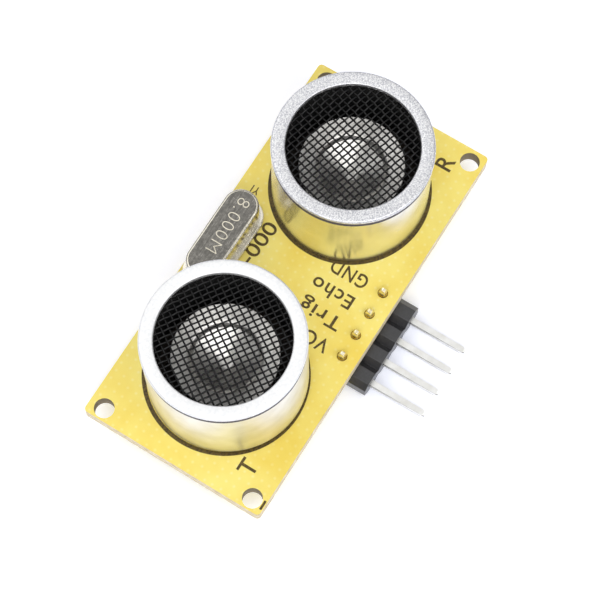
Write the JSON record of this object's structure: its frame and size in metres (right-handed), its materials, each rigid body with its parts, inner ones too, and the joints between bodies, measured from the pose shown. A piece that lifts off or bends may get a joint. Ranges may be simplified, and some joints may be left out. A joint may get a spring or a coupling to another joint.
{
  "type": "ultrasonic distance sensor",
  "caption": "Ultrasonic distance sensor: transmitting and receiving mesh-fronted transducers on a yellow circuit board with a crystal and a right-angle pin header.",
  "frame": {"origin": "centre of the board's back face", "axes": "+X along the board towards the receiving transducer, +Y across it towards the crystal (the header is on the -Y edge), +Z the way the transducers face"},
  "size_m": [0.0432, 0.0278, 0.0148],
  "materials": {
    "solder_mask_yellow": "yellow solder mask over glass-epoxy laminate",
    "spun_aluminium": "drawn and turned, satin",
    "pressed_aluminium": "thin pressed foil",
    "black_wire_cloth": "blackened woven wire",
    "black_nylon": "moulded",
    "phenolic": "pressed laminate",
    "tinned_steel": "tinned wire",
    "enamelled_copper": "fine enamelled wire",
    "silicone": "cast silicone",
    "piezo_ceramic": "silvered ceramic",
    "nickel_silver": "drawn nickel-plated can",
    "quartz": "lapped quartz",
    "sealing_glass": "fused glass bead",
    "header_nylon": "moulded",
    "tinned_brass": "tinned square wire",
    "solder": "bright solder",
    "moulding_epoxy": "moulding compound",
    "resistor_glaze": "glazed film",
    "capacitor_ceramic": "fired ceramic"
  },
  "bodies": {
    "root": {"amplifier_ic": "moulding_epoxy", "capacitor_1": "capacitor_ceramic", "capacitor_2": "capacitor_ceramic", "capacitor_3": "capacitor_ceramic", "controller_ic": "moulding_epoxy", "crystal_base": "nickel_silver", "crystal_blank": "quartz", "crystal_can": "nickel_silver", "crystal_joint_1": "solder", "crystal_joint_2": "solder", "crystal_lead_1": "tinned_steel", "crystal_lead_2": "tinned_steel", "crystal_seal_1": "sealing_glass", "crystal_seal_2": "sealing_glass", "driver_ic": "moulding_epoxy", "header_housing": "header_nylon", "header_joint_1": "solder", "header_joint_2": "solder", "header_joint_3": "solder", "header_joint_4": "solder", "header_pin_1": "tinned_brass", "header_pin_2": "tinned_brass", "header_pin_3": "tinned_brass", "header_pin_4": "tinned_brass", "pcb": "solder_mask_yellow", "receiver_base": "phenolic", "receiver_can": "spun_aluminium", "receiver_cone": "pressed_aluminium", "receiver_cushion": "silicone", "receiver_lead_1": "enamelled_copper", "receiver_lead_2": "enamelled_copper", "receiver_piezo": "piezo_ceramic", "receiver_pin_1": "tinned_steel", "receiver_pin_2": "tinned_steel", "receiver_plate": "pressed_aluminium", "receiver_screen": "black_wire_cloth", "receiver_sleeve": "black_nylon", "resistor_1": "resistor_glaze", "resistor_2": "resistor_glaze", "resistor_3": "resistor_glaze", "resistor_4": "resistor_glaze", "resistor_5": "resistor_glaze", "switch_transistor": "moulding_epoxy", "transducer_joint_1": "solder", "transducer_joint_2": "solder", "transducer_joint_3": "solder", "transducer_joint_4": "solder", "transmitter_base": "phenolic", "transmitter_can": "spun_aluminium", "transmitter_cone": "pressed_aluminium", "transmitter_cushion": "silicone", "transmitter_lead_1": "enamelled_copper", "transmitter_lead_2": "enamelled_copper", "transmitter_piezo": "piezo_ceramic", "transmitter_pin_1": "tinned_steel", "transmitter_pin_2": "tinned_steel", "transmitter_plate": "pressed_aluminium", "transmitter_screen": "black_wire_cloth", "transmitter_sleeve": "black_nylon"}
  },
  "joints": []
}
